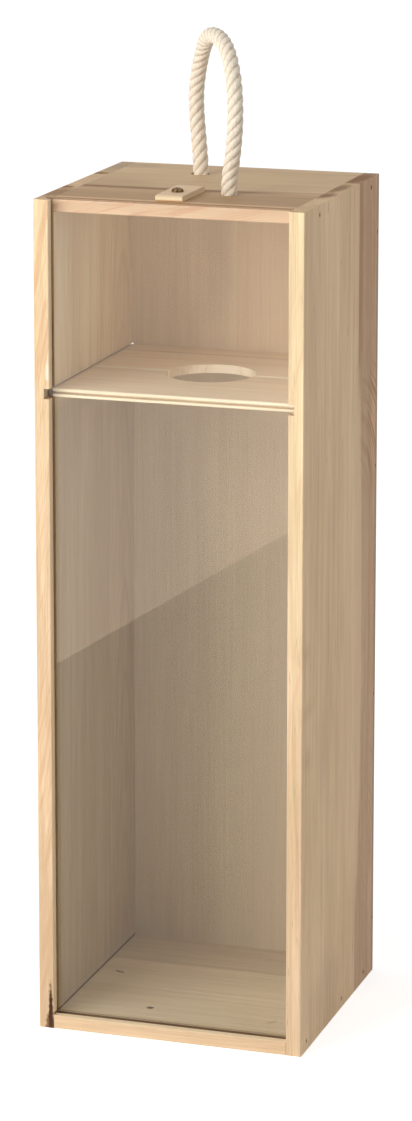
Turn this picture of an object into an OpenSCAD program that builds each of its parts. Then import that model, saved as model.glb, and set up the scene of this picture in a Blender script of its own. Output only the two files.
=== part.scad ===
// Upright pine box for one large wine bottle, with a clear sliding front,
// a split neck shelf, a wooden turn-button and a rope handle.
// Millimetres. X runs across the front, Y from the front to the back, Z up.
// The origin is the middle of the underside.

/* [Box] */
// Overall width across the side panels
box_w = 140; // [130:1:170]
// Overall depth from the front edges to the back
box_d = 135; // [130:1:160]
// Overall height of the side panels
box_h = 430; // [400:1:470]

/* [Boards] */
// Thickness of the side panels
side_t = 8; // [7.5:0.5:12]
// Thickness of the top panel
top_t = 7; // [6.5:0.5:10]
// Thickness of the bottom panel
bottom_t = 7; // [6.5:0.5:10]
// Thickness of the back panel
back_t = 5; // [4:0.5:8]
// Width of the front board of the left side
left_front_board_w = 90; // [80:1:100]
// Width of the front board of the right side
right_front_board_w = 98; // [80:1:105]
// Width of the front board of the top, to its tongue-and-groove joint
top_front_board_w = 46.5; // [44:0.5:50]
// Width of the front board of the bottom
bottom_front_board_w = 92.5; // [80:0.5:100]
// Width of the left board of the back
back_left_board_w = 57; // [40:1:80]
// Flat sanded on the long outer edges of every board
edge_flat = 0.4; // [0.2:0.1:0.6]

/* [Joint between the top boards] */
// Thickness of the tongue
tongue_t = 2; // [1.5:0.1:2.5]
// Length of the tongue
tongue_l = 4; // [3:0.5:5]
// Air left at the tip of the tongue
tongue_gap = 0.2; // [0.1:0.1:0.5]
// Depth of the V cut along the joint
joint_v = 0.7; // [0.3:0.1:1.2]

/* [Sliding front] */
// Thickness of the clear sheet
lid_t = 3; // [2:0.5:4]
// Running gap on each face of the sheet
lid_gap = 0.3; // [0.2:0.1:0.5]
// Wood left in front of the groove
lip_t = 4; // [3:0.5:5]
// Depth of the grooves in the side panels
side_groove = 3.5; // [2.5:0.5:4]
// Depth of the groove in the bottom panel
bottom_groove = 3; // [2:0.5:4]
// Air at each side edge of the sheet
lid_side_gap = 0.5; // [0.3:0.1:1]
// Air under the sheet and between its top and the turn-button
lid_end_gap = 0.2; // [0.1:0.1:0.4]

/* [Neck shelf] */
// Height of the shelf's underside
shelf_z = 329.6; // [300:0.5:345]
// Thickness of the shelf
shelf_t = 4.4; // [4:0.2:6]
// Depth of the dados that hold the shelf
dado = 3; // [2:0.5:4]
// Air above the shelf in its dados
dado_play = 0.8; // [0.2:0.1:1.5]
// Width that the shelf is short of its two dados
shelf_short = 2.5; // [0.5:0.1:3]
// Air at the end that is pushed home, on the right
shelf_end_gap = 0.15; // [0.1:0.05:0.25]
// Air in front of the shelf and behind it
shelf_face_gap = 0.2; // [0.1:0.1:0.5]
// Air between the two halves of the shelf
shelf_split_gap = 0.2; // [0.1:0.1:0.5]
// Diameter of the hole for the bottle's neck
neck_hole_d = 46; // [36:1:52]
// Height of the groove along the shelf's front edge
edge_groove_h = 1.5; // [1:0.1:2]
// Depth of the groove along the shelf's front edge
edge_groove = 4; // [3:0.5:6]

/* [Turn-button] */
// Length of the turn-button
button_l = 36; // [34:1:38]
// Width of the turn-button
button_w = 14; // [12:1:16]
// Thickness of the turn-button
button_t = 2.8; // [2.6:0.2:4]
// Distance from the screw to the end that locks the sheet
button_reach = 22; // [21:0.5:23]
// Distance of the screw left of the middle
button_left = 3.4; // [2:0.2:8]
// Air under the turn-button
button_gap = 0.2; // [0.1:0.1:0.3]
// Flat on the edges of the turn-button's ends
button_flat = 0.7; // [0.4:0.1:0.9]

/* [Screw] */
// Diameter of the screw's round head
screw_head_d = 6; // [5.4:0.1:6.6]
// Height of the screw's round head
screw_head_h = 1.9; // [1.6:0.1:2.2]
// Diameter of the screw's shank
screw_d = 3; // [2.5:0.1:3.5]
// Length of the shank under the head
screw_l = 9; // [7:0.5:9.5]
// Air between the turn-button and the screw's head
screw_lift = 0.1; // [0.1:0.1:0.3]
// Radial gap between the screw and the turn-button
screw_gap = 0.08; // [0.05:0.01:0.1]
// Width of the slot across the head
slot_w = 1; // [0.8:0.1:1.2]
// Depth of the slot across the head
slot_depth = 1.1; // [0.8:0.1:1.2]
// Direction of the slot, turned from the button's width
slot_turn = 35; // [0:5:180]

/* [Nails] */
// Diameter of the nails
nail_d = 1; // [0.8:0.1:1.2]
// Length of the nails
nail_l = 22; // [18:1:26]
// Diameter of the nails' heads
nail_head_d = 1.6; // [1.4:0.1:2]
// Thickness of the nails' heads
nail_head_t = 0.6; // [0.4:0.1:1]
// Depth of the heads below the wood
nail_set = 0.3; // [0.1:0.1:0.6]
// Radial gap round a nail in its hole
nail_fit = 0.02; // [0.01:0.01:0.05]
// Distance of the nails from the top and from the underside
nail_edge = 5; // [4.5:0.1:5.4]
// Front nails of the top, from the front edge
top_nail_front = 26; // [20:1:30]
// Rear nails of the top, from the back
top_nail_rear = 15; // [12:1:30]
// Front nails of the bottom, from the front edge
bottom_nail_front = 10; // [9.5:0.5:20]
// Middle nails of the bottom, from the front edge
bottom_nail_middle = 74; // [60:1:80]
// Rear nails of the bottom, from the back
bottom_nail_rear = 19; // [12:1:30]
// Lowest and highest nails of the back, from its ends
back_nail_end = 30; // [15:1:50]
// Number of nails along each edge of the back
back_nail_count = 4; // [2:1:6]

/* [Rope handle] */
// Diameter of the rope
rope_d = 8.2; // [6:0.2:9]
// Radial gap round the rope in its holes
rope_hole_gap = 0.5; // [0.1:0.1:0.6]
// Diameter of the rings pressed on the rope's ends
clamp_d = 12.4; // [11:0.2:14]
// Height of the rings pressed on the rope's ends
clamp_h = 4; // [3:0.5:5]
// Rope left below each ring
rope_stub = 0.5; // [0.5:0.5:2]
// Distance of the rope's front hole behind the front edges
rope_inset = 43.5; // [41:0.5:45]
// Distance of the rope's front hole right of the middle
rope_right = 18; // [10:1:22]

/* [Hidden] */
$fn = 48;

// How far a cutting tool runs past the wood
past = 1;

// Planes of the box
side_x = box_w / 2;
inner_x = side_x - side_t;
front_y = -box_d / 2;
rear_y = box_d / 2;
back_y = rear_y - back_t;
top_z = box_h - top_t;

// Clear sheet and its groove
groove_front_y = front_y + lip_t;
groove_w = lid_t + 2 * lid_gap;
groove_rear_y = groove_front_y + groove_w;
lid_front_y = groove_front_y + lid_gap;
lid_half_w = inner_x + side_groove - lid_side_gap;
lid_z = bottom_t - bottom_groove + lid_end_gap;
lid_top_z = box_h - lid_end_gap;

// Joints between boards
left_joint_y = front_y + left_front_board_w;
right_joint_y = front_y + right_front_board_w;
top_joint_y = groove_rear_y + top_front_board_w;
bottom_joint_y = front_y + bottom_front_board_w;
back_joint_x = -inner_x + back_left_board_w;
tongue_z = top_z + (top_t - tongue_t) / 2;

// Shelf in its dados
dado_h = shelf_t + dado_play;
shelf_w = 2 * (inner_x + dado) - shelf_short;
shelf_right_x = inner_x + dado - shelf_end_gap;
shelf_left_x = shelf_right_x - shelf_w;
shelf_mid_x = (shelf_left_x + shelf_right_x) / 2;
shelf_front_y = groove_rear_y + shelf_face_gap;
shelf_rear_y = back_y - shelf_face_gap;
shelf_split_y = 0;

// Turn-button and its screw: when it locks, the long end covers the sheet
button_x = -button_left;
button_y = lid_front_y + button_reach;
button_z = box_h + button_gap;
button_top_z = button_z + button_t;
screw_seat_z = button_top_z + screw_lift;

// Nails: their places along each row
top_nail_ys = [front_y + top_nail_front, rear_y - top_nail_rear];
bottom_nail_ys = [
    front_y + bottom_nail_front, front_y + bottom_nail_middle, rear_y - bottom_nail_rear
];
back_nail_y = rear_y - back_t / 2;
back_nail_step = (box_h - 2 * back_nail_end) / (back_nail_count - 1);
back_nail_zs = [for (i = [0 : back_nail_count - 1]) back_nail_end + i * back_nail_step];

// Rope: [x, y] from the front hole and height above the top, over to the rear hole
rope_route = [
    [0, 0, 4], [0.4, 0, 10], [1.6, -0.5, 18], [2.8, -1, 28], [3.3, -1, 38],
    [2.9, 0, 47], [1.7, 2, 55], [-1, 6.5, 63], [-5, 13, 69.5], [-10.8, 22, 73.8],
    [-17.5, 31.5, 75.3], [-23.8, 41, 73.6], [-29, 50, 68.5], [-33.3, 57, 60.5], [-36.2, 61.5, 52],
    [-37.8, 63.5, 43], [-37.9, 64, 33], [-37, 63.5, 23], [-35.8, 62.5, 13], [-35, 62, 4]
];
rope_front = [rope_right, front_y + rope_inset];
rope_span = rope_route[len(rope_route) - 1];
rope_rear = rope_front + [rope_span.x, rope_span.y];
rope_end_z = -top_t - clamp_h - rope_stub;
rope_line = [
    [rope_front.x, rope_front.y, box_h + rope_end_z],
    [rope_front.x, rope_front.y, box_h + rope_end_z / 2],
    for (p = rope_route) [rope_front.x, rope_front.y, box_h] + p,
    [rope_rear.x, rope_rear.y, box_h + rope_end_z / 2],
    [rope_rear.x, rope_rear.y, box_h + rope_end_z]
];
rope_sides = 10;

pine = [0.86, 0.72, 0.53];
pale_pine = [0.93, 0.80, 0.60];
dark_pine = [0.72, 0.56, 0.40];
steel = [0.62, 0.60, 0.57];
clear = [0.85, 0.90, 0.90, 0.3];
cotton = [0.94, 0.89, 0.78];

// ---- Shapes shared by several pieces ----

// Rectangle from the origin to size, with a flat on each corner.
// flats are those of the corners (0,0), (w,0), (w,h), (0,h).
module soft_rect(size, flats) {
    w = size.x;
    h = size.y;
    polygon([
        [flats[0], 0], [w - flats[1], 0], [w, flats[1]], [w, h - flats[2]],
        [w - flats[2], h], [flats[3], h], [0, h - flats[3]], [0, flats[0]]
    ]);
}

// Board with its grain along Z; flats go round its X-Y section
module upright_board(low, high, flats) {
    translate(low)
        linear_extrude(high.z - low.z)
            soft_rect([high.x - low.x, high.y - low.y], flats);
}

// Board with its grain along X; flats go round its Y-Z section
module cross_board(low, high, flats) {
    translate(low)
        rotate([90, 0, 90])
            linear_extrude(high.x - low.x)
                soft_rect([high.y - low.y, high.z - low.z], flats);
}

// Plain block between two corners, for cuts
module block(low, high) {
    translate(low) cube(high - low);
}

// One nail lying along X with its outer end at the right side's face.
// grow widens it into the hole that it is driven in.
module nail(grow = 0) {
    reach = grow > 0 ? past : 0;
    rotate([0, -90, 0]) {
        translate([0, 0, nail_set])
            cylinder(h = nail_l - nail_set, d = nail_d + 2 * grow);
        translate([0, 0, nail_set - reach])
            cylinder(h = nail_head_t + reach, d = nail_head_d + 2 * grow);
    }
}

// A row of nails through both side panels
module nail_row(ys, zs, grow = 0) {
    for (mirrored = [0, 1], y = ys, z = zs)
        mirror([mirrored, 0, 0])
            translate([side_x, y, z])
                nail(grow);
}

module all_nail_holes() {
    nail_row(top_nail_ys, [box_h - nail_edge], nail_fit);
    nail_row(bottom_nail_ys, [nail_edge], nail_fit);
    nail_row([back_nail_y], back_nail_zs, nail_fit);
}

module rope_holes() {
    for (p = [rope_front, rope_rear])
        translate([p.x, p.y, top_z - past])
            cylinder(h = top_t + 2 * past, d = rope_d + 2 * rope_hole_gap);
}

// Cuts that run up the inside of the right panel: the sheet's groove and the shelf's dado
module side_cuts() {
    block([inner_x - past, groove_front_y, -past], [inner_x + side_groove, groove_rear_y, box_h + past]);
    block([inner_x - past, front_y - past, shelf_z], [inner_x + dado, rear_y + past, shelf_z + dado_h]);
}

// ---- Case ----

module side_front_board(joint_y) {
    difference() {
        upright_board([inner_x, front_y, 0], [side_x, joint_y, box_h], [edge_flat, edge_flat, 0, 0]);
        side_cuts();
        all_nail_holes();
    }
}

module side_rear_board(joint_y) {
    difference() {
        upright_board([inner_x, joint_y, 0], [side_x, rear_y, box_h], [0, 0, edge_flat, edge_flat]);
        side_cuts();
        all_nail_holes();
    }
}

module left_side_front_board() {
    color(pale_pine) mirror([1, 0, 0]) side_front_board(left_joint_y);
}

module left_side_rear_board() {
    color(pine) mirror([1, 0, 0]) side_rear_board(left_joint_y);
}

module right_side_front_board() {
    color(pale_pine) side_front_board(right_joint_y);
}

module right_side_rear_board() {
    color(dark_pine) side_rear_board(right_joint_y);
}

module top_front_board() {
    color(pine) difference() {
        cross_board([-inner_x, groove_rear_y, top_z], [inner_x, top_joint_y, box_h],
            [edge_flat, 0, joint_v, edge_flat]);
        block([-inner_x - past, top_joint_y - tongue_l - tongue_gap, tongue_z],
            [inner_x + past, top_joint_y + past, tongue_z + tongue_t]);
        rope_holes();
        all_nail_holes();
        translate([button_x, button_y, screw_seat_z - screw_l])
            cylinder(h = screw_l, d = screw_d + 2 * nail_fit);
    }
}

module top_rear_board() {
    color(pine) difference() {
        union() {
            cross_board([-inner_x, top_joint_y, top_z], [inner_x, back_y, box_h], [0, 0, 0, joint_v]);
            block([-inner_x, top_joint_y - tongue_l, tongue_z],
                [inner_x, top_joint_y + past, tongue_z + tongue_t]);
        }
        rope_holes();
        all_nail_holes();
    }
}

module bottom_front_board() {
    color(pale_pine) difference() {
        cross_board([-inner_x, front_y, 0], [inner_x, bottom_joint_y, bottom_t],
            [edge_flat, 0, edge_flat / 2, edge_flat]);
        block([-inner_x - past, groove_front_y, bottom_t - bottom_groove],
            [inner_x + past, groove_rear_y, bottom_t + past]);
        all_nail_holes();
    }
}

module bottom_rear_board() {
    color(pine) difference() {
        cross_board([-inner_x, bottom_joint_y, 0], [inner_x, back_y, bottom_t], [0, 0, 0, edge_flat / 2]);
        all_nail_holes();
    }
}

module back_left_board() {
    color(pine) difference() {
        upright_board([-inner_x, back_y, 0], [back_joint_x, rear_y, box_h], [0, 0, 0, 0]);
        all_nail_holes();
    }
}

module back_right_board() {
    color(dark_pine) difference() {
        upright_board([back_joint_x, back_y, 0], [inner_x, rear_y, box_h], [0, 0, 0, 0]);
        all_nail_holes();
    }
}

// ---- Neck shelf, in two halves round the neck ----

module shelf_blank(y0, y1, flats) {
    difference() {
        cross_board([shelf_left_x, y0, shelf_z], [shelf_right_x, y1, shelf_z + shelf_t], flats);
        translate([shelf_mid_x, shelf_split_y, shelf_z - past])
            cylinder(h = shelf_t + 2 * past, d = neck_hole_d, $fn = 96);
    }
}

module shelf_front_half() {
    groove_z = shelf_z + (shelf_t - edge_groove_h) / 2;
    color(pale_pine) difference() {
        shelf_blank(shelf_front_y, shelf_split_y - shelf_split_gap / 2,
            [edge_flat, 0, edge_flat, edge_flat]);
        block([shelf_left_x - past, shelf_front_y - past, groove_z],
            [shelf_right_x + past, shelf_front_y + edge_groove, groove_z + edge_groove_h]);
    }
}

module shelf_rear_half() {
    color(pine)
        shelf_blank(shelf_split_y + shelf_split_gap / 2, shelf_rear_y, [0, 0, 0, edge_flat]);
}

// ---- Sliding front ----

module sliding_front() {
    polish = lid_t / 10;
    color(clear)
        upright_board([-lid_half_w, lid_front_y, lid_z], [lid_half_w, lid_front_y + lid_t, lid_top_z],
            [polish, polish, polish, polish]);
}

// ---- Turn-button, turned half round so that the sheet can slide up past it ----

module turn_button() {
    color(pale_pine) difference() {
        cross_board([button_x - button_w / 2, button_y - (button_l - button_reach), button_z],
            [button_x + button_w / 2, button_y + button_reach, button_top_z],
            [button_flat, button_flat, button_flat, button_flat]);
        translate([button_x, button_y, button_z - past])
            cylinder(h = button_t + 2 * past, d = screw_d + 2 * screw_gap);
    }
}

module turn_button_screw() {
    brim_h = 0.4 * screw_head_h;
    shoulder_h = 0.35 * screw_head_h;
    crown_h = screw_head_h - brim_h - shoulder_h;
    shoulder_d = 0.82 * screw_head_d;
    crown_d = 0.45 * screw_head_d;
    point_h = screw_d / 2;
    color(steel) translate([button_x, button_y, screw_seat_z]) {
        difference() {
            union() {
                cylinder(h = brim_h, d = screw_head_d);
                translate([0, 0, brim_h])
                    cylinder(h = shoulder_h, d1 = screw_head_d, d2 = shoulder_d);
                translate([0, 0, brim_h + shoulder_h])
                    cylinder(h = crown_h, d1 = shoulder_d, d2 = crown_d);
                translate([0, 0, point_h - screw_l])
                    cylinder(h = screw_l - point_h, d = screw_d);
                translate([0, 0, -screw_l])
                    cylinder(h = point_h, d1 = point_h / 3, d2 = screw_d);
            }
            rotate([0, 0, slot_turn])
                block([-screw_head_d, -slot_w / 2, screw_head_h - slot_depth],
                    [screw_head_d, slot_w / 2, screw_head_h + past]);
        }
    }
}

// ---- Rope handle ----

// Direction of the rope's centreline at point i
function heading(i) =
    let (last = len(rope_line) - 1)
    let (d = rope_line[min(i + 1, last)] - rope_line[max(i - 1, 0)])
    d / norm(d);

// Level direction square to the line from hole to hole, the same for every ring
loop_side = let (d = rope_rear - rope_front) [d.y, -d.x, 0] / norm(d);

// Ring of points round the centreline at point i
function rope_ring(i) =
    let (t = heading(i))
    let (u = cross(t, loop_side) / norm(cross(t, loop_side)))
    let (v = cross(t, u))
    [for (k = [0 : rope_sides - 1])
        rope_line[i] + rope_d / 2 * (cos(360 * k / rope_sides) * u + sin(360 * k / rope_sides) * v)];

module rope_handle() {
    rings = len(rope_line);
    points = [for (i = [0 : rings - 1]) each rope_ring(i)];
    walls = [
        for (i = [0 : rings - 2], k = [0 : rope_sides - 1])
            let (a = i * rope_sides + k, b = i * rope_sides + (k + 1) % rope_sides)
            [a, b, b + rope_sides, a + rope_sides]
    ];
    start = [for (k = [rope_sides - 1 : -1 : 0]) k];
    finish = [for (k = [0 : rope_sides - 1]) (rings - 1) * rope_sides + k];
    color(cotton) polyhedron(points, concat(walls, [start, finish]));
}

module rope_clamps() {
    color(steel)
        for (p = [rope_front, rope_rear])
            translate([p.x, p.y, top_z - clamp_h])
                difference() {
                    cylinder(h = clamp_h, d = clamp_d);
                    translate([0, 0, -past])
                        cylinder(h = clamp_h + 2 * past, d = rope_d);
                }
}

// ---- Nails ----

module top_nails() {
    color(steel) nail_row(top_nail_ys, [box_h - nail_edge]);
}

module bottom_nails() {
    color(steel) nail_row(bottom_nail_ys, [nail_edge]);
}

module back_nails() {
    color(steel) nail_row([back_nail_y], back_nail_zs);
}

left_side_front_board();
left_side_rear_board();
right_side_front_board();
right_side_rear_board();
top_front_board();
top_rear_board();
bottom_front_board();
bottom_rear_board();
back_left_board();
back_right_board();
shelf_front_half();
shelf_rear_half();
sliding_front();
turn_button();
turn_button_screw();
rope_handle();
rope_clamps();
top_nails();
bottom_nails();
back_nails();
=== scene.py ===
# %% [markdown]
# # An upright pine wine box
#
# This lesson dresses a wine box that was built as a CAD model: boards of pine, a clear sheet that
# slides up out of its grooves, a wooden turn-button and a rope handle. The CAD boards keep their
# exact shapes, so Blender's work is what a maker sees and feels: how each board was sawn, how the
# rope was laid, how the sheet mirrors the room. Lengths are in metres, except where a name or a
# note says millimetres.

import math

import bmesh
import bpy
from mathutils import Matrix, Vector


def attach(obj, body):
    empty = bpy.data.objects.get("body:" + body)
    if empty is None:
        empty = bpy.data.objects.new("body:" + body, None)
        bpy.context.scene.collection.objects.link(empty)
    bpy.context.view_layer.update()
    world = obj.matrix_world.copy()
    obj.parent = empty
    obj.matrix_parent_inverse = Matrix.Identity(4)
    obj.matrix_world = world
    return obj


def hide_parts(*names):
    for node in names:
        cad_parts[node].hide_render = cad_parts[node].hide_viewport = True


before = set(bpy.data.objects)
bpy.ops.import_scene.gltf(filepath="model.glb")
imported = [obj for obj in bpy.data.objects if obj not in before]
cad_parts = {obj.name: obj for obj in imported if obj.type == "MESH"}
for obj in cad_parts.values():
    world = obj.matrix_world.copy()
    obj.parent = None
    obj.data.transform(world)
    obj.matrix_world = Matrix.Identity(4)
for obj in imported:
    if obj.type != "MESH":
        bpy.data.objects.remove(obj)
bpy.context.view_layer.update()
MM = 0.001

# %% [markdown]
# ## The camera
#
# The camera stands a little to the right of the box and looks down on it slightly through a long
# lens, so that the front stays nearly square. A view camera keeps upright edges upright by moving
# its lens and not tilting the body, and Blender's camera has a shift for that. Here a little shift
# and a little tilt share the work, so that other views of the box stay well framed too.

# %% Camera
CAMERA_PLACE = Vector((0.604, -1.876, 0.731))
TURN_LEFT = math.radians(17.90)
LOOK_DOWN = math.radians(10.86)
FRAME_HEIGHT_PX = 1121
FOCAL_PX = 3953
PRINCIPAL_ROW_PX = 336.3

camera_data = bpy.data.cameras.new("camera")
camera_data.sensor_width = 36
camera_data.lens = camera_data.sensor_width * FOCAL_PX / FRAME_HEIGHT_PX
camera_data.shift_y = (PRINCIPAL_ROW_PX - FRAME_HEIGHT_PX / 2) / FRAME_HEIGHT_PX
camera = bpy.data.objects.new("camera", camera_data)
camera.location = CAMERA_PLACE
camera.rotation_euler = (math.radians(90) - LOOK_DOWN, 0, TURN_LEFT)
bpy.context.scene.collection.objects.link(camera)
bpy.context.scene.camera = camera
bpy.context.scene.view_settings.view_transform = "Standard"
print("lens, mm:", round(camera_data.lens, 1), "shift:", round(camera_data.shift_y, 3))

# %% [markdown]
# ## The rope handle: its route
#
# The handle is one cotton rope that goes down through two holes in the top and is held below by a
# ring pressed on each end. Its route is a short list of points. A Bezier curve with automatic
# handles runs smoothly through them, and Blender works out the line between them.

# %% The line that the rope follows
TOP_Z = 0.430
ROPE_D = 0.0082
ROUTE_STEPS = 20
FRONT_HOLE = Vector((0.018, -0.024, TOP_Z))
ROPE_ROUTE_MM = [
    (0, 0, -11.5), (0, 0, -5.75),
    (0, 0, 4), (0.4, 0, 10), (1.6, -0.5, 18), (2.8, -1, 28), (3.3, -1, 38),
    (2.9, 0, 47), (1.7, 2, 55), (-1, 6.5, 63), (-5, 13, 69.5), (-10.8, 22, 73.8),
    (-17.5, 31.5, 75.3), (-23.8, 41, 73.6), (-29, 50, 68.5), (-33.3, 57, 60.5), (-36.2, 61.5, 52),
    (-37.8, 63.5, 43), (-37.9, 64, 33), (-37, 63.5, 23), (-35.8, 62.5, 13), (-35, 62, 4),
    (-35, 62, -5.75), (-35, 62, -11.5),
]


def smooth_line(points, steps):
    """Points along one Bezier curve through the given points, with `steps` in each stretch."""
    curve = bpy.data.curves.new("route", "CURVE")
    curve.dimensions = "3D"
    curve.resolution_u = steps
    spline = curve.splines.new("BEZIER")
    spline.bezier_points.add(len(points) - 1)
    for knot, point in zip(spline.bezier_points, points):
        knot.co = point
        knot.handle_left_type = knot.handle_right_type = "AUTO"
    holder = bpy.data.objects.new("route", curve)
    line = [v.co.copy() for v in holder.to_mesh().vertices]
    bpy.data.objects.remove(holder)
    bpy.data.curves.remove(curve)
    return line


rope_centres = smooth_line([FRONT_HOLE + MM * Vector(p) for p in ROPE_ROUTE_MM], ROUTE_STEPS)
rope_length = sum((b - a).length for a, b in zip(rope_centres, rope_centres[1:]))
print("rope length, mm:", round(1000 * rope_length, 1), "points:", len(rope_centres))

# %% [markdown]
# ## The rope handle: its strands
#
# The rope has four strands, laid to the right. It could be four curves with round bevels, but soft
# strands press each other flat where they touch. So the rope is one outline with four lobes, swept
# along the line and turned as it goes: one turn in each length of lay.

# %% The outline of four strands
STRANDS = 4
LAY = 0.0213
LOBE_SHARE = 0.64


def lobed(angle):
    """Radius of the rope's outline at an angle, as a share of its half diameter."""
    half = math.pi / STRANDS
    off = (angle + half) % (2 * half) - half
    reach = 1 - LOBE_SHARE
    return reach * math.cos(off) + math.sqrt(LOBE_SHARE**2 - (reach * math.sin(off)) ** 2)


for place, angle in (("on a strand", 0), ("between two", math.pi / STRANDS)):
    print("radius", place + ", mm:", round(1000 * ROPE_D / 2 * lobed(angle), 2))

# %% [markdown]
# ## The rope handle: where each ring stands
#
# A ring may not spin by chance where the line bends. So each ring's frame is the last one, turned
# by the smallest turn that follows the line, and the turn of the lay is kept apart from it.

# %% Frames along the line
def sweep_frames(line, turn_per_metre):
    """For each centre: a matrix whose Z follows the line, the lay's turn, and the length so far."""
    ahead = (line[1] - line[0]).normalized()
    turned = Vector((0, 0, 1)).rotation_difference(ahead)
    frames, length = [], 0.0
    for i, centre in enumerate(line):
        after = line[min(i + 1, len(line) - 1)] - line[max(i - 1, 0)]
        turned = ahead.rotation_difference(after.normalized()) @ turned
        ahead = after.normalized()
        if i:
            length += (centre - line[i - 1]).length
        twist = Matrix.Rotation(turn_per_metre * length, 4, "Z")
        frames.append((Matrix.Translation(centre) @ turned.to_matrix().to_4x4(), twist, length))
    return frames


rope_rings = sweep_frames(rope_centres, 2 * math.pi / LAY)
print("rings:", len(rope_rings), "turns of the lay:", round(rope_rings[-1][2] / LAY, 1))

# %% [markdown]
# ## The rope handle: the sweep
#
# Each ring of the sweep is the last rim extruded and then moved to the next frame. The mesh also
# remembers where each point lies in the rope pulled straight, so that the yarns can be drawn along
# the strands later. The cut ends are set in a little, as cotton is where it is cut and pressed.

# %% Sweep the strands
ROPE_SIDES = 48
CUT_RIM = 0.0008
CUT_DIP = -0.0003


def new_piece(name, mesh):
    """The bmesh as an object in the scene, at the origin."""
    data = bpy.data.meshes.new(name)
    mesh.to_mesh(data)
    mesh.free()
    piece = bpy.data.objects.new(name, data)
    bpy.context.scene.collection.objects.link(piece)
    return piece


def sweep_rope(name, rings):
    mesh = bmesh.new()
    straight = mesh.verts.layers.float_vector.new("straight")
    bmesh.ops.create_circle(mesh, segments=ROPE_SIDES, radius=ROPE_D / 2)
    for v in mesh.verts:
        v.co *= lobed(math.atan2(v.co.y, v.co.x))
    rim = mesh.edges[:]
    ring = mesh.verts[:]
    last = Matrix()
    for i, (place, twist, length) in enumerate(rings):
        if i:
            grown = bmesh.ops.extrude_edge_only(mesh, edges=rim)["geom"]
            rim = [g for g in grown if isinstance(g, bmesh.types.BMEdge)]
            ring = [g for g in grown if isinstance(g, bmesh.types.BMVert)]
        now = place @ twist
        bmesh.ops.transform(mesh, matrix=now @ last.inverted(), verts=ring)
        last = now
        lay_flat = place.inverted()
        for v in ring:
            flat = lay_flat @ v.co
            v[straight] = (flat.x, flat.y, length)
    ends = [e for e in mesh.edges if e.is_boundary]
    caps = bmesh.ops.holes_fill(mesh, edges=ends)["faces"]
    bmesh.ops.inset_region(mesh, faces=caps, thickness=CUT_RIM, depth=CUT_DIP)
    bmesh.ops.recalc_face_normals(mesh, faces=mesh.faces)
    piece = new_piece(name, mesh)
    for face in piece.data.polygons:
        face.use_smooth = True
    return piece


rope = sweep_rope("twisted_rope", rope_rings)
print("rope faces:", len(rope.data.polygons))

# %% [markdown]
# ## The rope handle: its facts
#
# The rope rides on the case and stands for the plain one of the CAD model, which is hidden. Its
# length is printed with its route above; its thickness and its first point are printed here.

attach(rope, "case")
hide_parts("rope_handle")
print("rope thickness, mm:", round(1000 * ROPE_D, 1), "starts at", rope_centres[0][:])

# %% [markdown]
# ## Drawing materials with nodes
#
# A material is a small tree of nodes. These helpers add one node at a time: `add_node` sets its
# inputs from plain values or from other nodes' sockets, and `maths` does one sum and gives its
# result. Noise is four-dimensional, and the fourth number is a seed: no two boards are alike.

# %% Helpers for node trees
def add_node(tree, kind, inputs=None, **settings):
    made = tree.nodes.new("ShaderNode" + kind)
    for name, value in settings.items():
        setattr(made, name, value)
    for name, value in (inputs or {}).items():
        socket = made.inputs[name]
        if isinstance(value, bpy.types.NodeSocket):
            tree.links.new(value, socket)
        else:
            socket.default_value = value
    return made


def maths(tree, operation, *values):
    made = add_node(tree, "Math", dict(enumerate(values)), operation=operation)
    return made.outputs[0]


def fade(tree, value, start, end, low=0.0, high=1.0):
    """Goes smoothly from low to high while value goes from start to end."""
    inputs = {"Value": value, "From Min": start, "From Max": end, "To Min": low, "To Max": high}
    return add_node(tree, "MapRange", inputs, interpolation_type="SMOOTHSTEP").outputs[0]


def noise(tree, where, scale, seed, detail=2.0, roughness=0.5, part="Fac"):
    inputs = {"Vector": where, "Scale": scale, "W": seed, "Detail": detail, "Roughness": roughness}
    return add_node(tree, "TexNoise", inputs, noise_dimensions="4D").outputs[part]


def scaled(tree, where, factors):
    inputs = {0: where, 1: factors}
    return add_node(tree, "VectorMath", inputs, operation="MULTIPLY").outputs[0]


print("node helpers: add_node, maths, fade, noise, scaled")

# %% Helpers for colours and materials
def blend_colours(tree, share, first, second, how="MIX"):
    made = add_node(tree, "Mix", {"Factor": share}, data_type="RGBA", blend_type=how)
    for index, colour in ((6, first), (7, second)):
        if isinstance(colour, bpy.types.NodeSocket):
            tree.links.new(colour, made.inputs[index])
        else:
            made.inputs[index].default_value = colour
    return made.outputs[2]


def paint(red, green, blue):
    """A colour as a painter reads it from 0 to 255, made linear for Blender."""
    parts = [c / 255 for c in (red, green, blue)]
    return [c / 12.92 if c <= 0.04045 else ((c + 0.055) / 1.055) ** 2.4 for c in parts] + [1.0]


def new_material(name):
    """A material with an empty tree, its Principled shader and that shader's output."""
    material = bpy.data.materials.new(name)
    material.use_nodes = True
    tree = material.node_tree
    tree.nodes.clear()
    shader = add_node(tree, "BsdfPrincipled")
    add_node(tree, "OutputMaterial", {"Surface": shader.outputs[0]})
    return material, tree, shader


def show_instead(tree, result):
    """Put another shader's result on the surface."""
    output = next(n for n in tree.nodes if n.type == "OUTPUT_MATERIAL")
    tree.links.new(result, output.inputs["Surface"])


print("middle grey as Blender holds it:", round(paint(128, 128, 128)[0], 3))

# %% [markdown]
# ## Solid pine
#
# A board is cut out of a log, so its figure is not a picture on its faces: it is the log's yearly
# rings, met by the saw at some angle. The material therefore works in the log. It measures how far
# each point lies from the pith, the log's middle line, and divides that by the width of a ring.
# Faces, edges and end grain then agree with each other at every corner, as in real wood. The log
# is measured in millimetres, because a maker thinks of wood in millimetres.

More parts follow.
